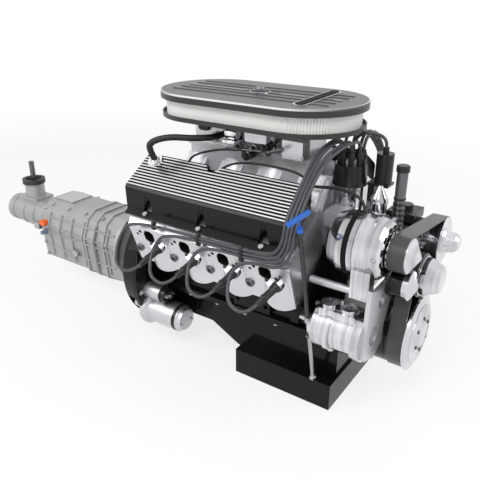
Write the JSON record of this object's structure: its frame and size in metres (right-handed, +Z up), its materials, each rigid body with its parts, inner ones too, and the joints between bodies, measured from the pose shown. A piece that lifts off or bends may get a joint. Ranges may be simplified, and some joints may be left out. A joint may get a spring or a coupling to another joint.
{
  "type": "v8 engine",
  "caption": "Complete pushrod V8 engine with finned valve covers, twin throttle bodies, an oval air cleaner, a front belt drive and a manual gearbox.",
  "frame": {"origin": "end of the gearbox's output shaft, on the crank axis", "axes": "+X forward along the crank axis to the belt drive, +Y to the engine's left, +Z up to the air cleaner"},
  "size_m": [1.558, 0.6867, 0.739],
  "materials": {
    "block_black": "satin",
    "pan_black": "satin",
    "cover_black": "gloss",
    "cast_aluminium": "satin",
    "polished_aluminium": "polished",
    "gearbox_cast": "cast",
    "steel": "machined",
    "dark_steel": "machined",
    "chrome": "polished",
    "belt_rubber": "matt",
    "hose_rubber": "matt",
    "lead_grey": "matt",
    "filter_paper": "matt",
    "black_plastic": "gloss",
    "matt_plastic": "matt",
    "blue_plastic": "matt",
    "gasket": "matt"
  },
  "bodies": {
    "engine": {"accessory_bracket": "polished_aluminium", "air_cleaner_lid": "cover_black", "air_cleaner_tray": "cover_black", "air_filter": "filter_paper", "alternator": "polished_aluminium", "bellhousing": "block_black", "block_plate": "block_black", "breather_hose": "hose_rubber", "compressor": "polished_aluminium", "cylinder_head_left": "cast_aluminium", "cylinder_head_right": "cast_aluminium", "dipstick_tube": "steel", "distributor_cap": "black_plastic", "distributor_housing": "polished_aluminium", "engine_block": "block_black", "engine_bolts": "steel", "fuel_regulator": "chrome", "gearbox_case": "gearbox_cast", "gearbox_fittings": "steel", "gearbox_tail": "gearbox_cast", "head_gaskets": "gasket", "ignition_coil": "matt_plastic", "intake_manifold": "cast_aluminium", "lid_nut": "steel", "main_bearing_caps": "dark_steel", "oil_filler_tube": "chrome", "oil_pan": "pan_black", "pistons_left": "cast_aluminium", "pistons_right": "cast_aluminium", "plug_leads": "lead_grey", "power_steering_pump": "cast_aluminium", "serpentine_belt": "belt_rubber", "shifter_turret": "gearbox_cast", "spark_plugs": "steel", "starter_motor": "steel", "thermostat_housing": "polished_aluminium", "throttle_body_front": "cast_aluminium", "throttle_body_rear": "cast_aluminium", "timing_chain": "dark_steel", "timing_cover": "block_black", "valve_cover_left": "cover_black", "valve_cover_right": "cover_black", "water_pump": "cast_aluminium"},
    "crank": {"crankshaft": "steel", "flywheel": "steel", "crank_sprocket": "dark_steel", "crank_pulley": "polished_aluminium"},
    "cam": {"camshaft": "steel", "cam_sprocket": "dark_steel"},
    "distributor_shaft": {"distributor_rotor": "matt_plastic"},
    "alternator_rotor": {"alternator_pulley": "polished_aluminium"},
    "steering_rotor": {"steering_pulley": "polished_aluminium"},
    "idler": {"idler_pulley": "black_plastic"},
    "pump_rotor": {"water_pump_pulley": "polished_aluminium"},
    "output": {"output_shaft": "steel"},
    "rear_throttle": {"throttle_shaft_rear": "steel"},
    "front_throttle": {"throttle_shaft_front": "steel"},
    "lever": {"shift_lever": "steel"},
    "stick": {"dipstick": "blue_plastic"},
    "filler_cap": {"oil_filler_cap": "cover_black"}
  },
  "joints": [
    {"name": "crank_spin", "type": "hinge", "parent": "engine", "child": "crank", "pos_m": [1, 0, 0], "axis": [1, 0, 0], "continuous": true},
    {"name": "cam_spin", "type": "hinge", "parent": "engine", "child": "cam", "pos_m": [1, 0, 0.116], "axis": [1, 0, 0], "continuous": true},
    {"name": "distributor_spin", "type": "hinge", "parent": "engine", "child": "distributor_shaft", "pos_m": [1.304, 0.03, 0.2], "axis": [0, 0, 1], "continuous": true},
    {"name": "alternator_spin", "type": "hinge", "parent": "engine", "child": "alternator_rotor", "pos_m": [1.45, -0.118, 0.247], "axis": [1, 0, 0], "continuous": true},
    {"name": "steering_spin", "type": "hinge", "parent": "engine", "child": "steering_rotor", "pos_m": [1.48, 0.137, 0.189], "axis": [1, 0, 0], "continuous": true},
    {"name": "idler_spin", "type": "hinge", "parent": "engine", "child": "idler", "pos_m": [1.49, -0.088, 0.164], "axis": [1, 0, 0], "continuous": true},
    {"name": "pump_spin", "type": "hinge", "parent": "engine", "child": "pump_rotor", "pos_m": [1.48, 0, 0.152], "axis": [1, 0, 0], "continuous": true},
    {"name": "output_spin", "type": "hinge", "parent": "engine", "child": "output", "pos_m": [0.1, 0, 0], "axis": [1, 0, 0], "continuous": true},
    {"name": "rear_throttle_turn", "type": "hinge", "parent": "engine", "child": "rear_throttle", "pos_m": [0.977, 0, 0.417], "axis": [0, 1, 0], "range_deg": [0, 80]},
    {"name": "front_throttle_turn", "type": "hinge", "parent": "engine", "child": "front_throttle", "pos_m": [1.157, 0, 0.417], "axis": [0, 1, 0], "range_deg": [0, 80]},
    {"name": "lever_rock", "type": "hinge", "parent": "engine", "child": "lever", "pos_m": [0.111, 0, 0.1023], "axis": [0, 1, 0], "range_deg": [-15, 15]},
    {"name": "dipstick_pull", "type": "slide", "parent": "engine", "child": "stick", "axis": [0.0393, -0.2949, 0.9547], "range_m": [0, 0.38]},
    {"name": "filler_cap_lift", "type": "slide", "parent": "engine", "child": "filler_cap", "axis": [0, 0, 1], "range_m": [0, 0.03]}
  ],
  "couplings": [
    {"joint": "cam_spin", "follows": "crank_spin", "ratio": 0.5},
    {"joint": "distributor_spin", "follows": "crank_spin", "ratio": 0.5},
    {"joint": "alternator_spin", "follows": "crank_spin", "ratio": 2.4},
    {"joint": "steering_spin", "follows": "crank_spin", "ratio": 1.5273},
    {"joint": "idler_spin", "follows": "crank_spin", "ratio": -2.8},
    {"joint": "pump_spin", "follows": "crank_spin", "ratio": -1.7872},
    {"joint": "front_throttle_turn", "follows": "rear_throttle_turn", "ratio": 1}
  ]
}
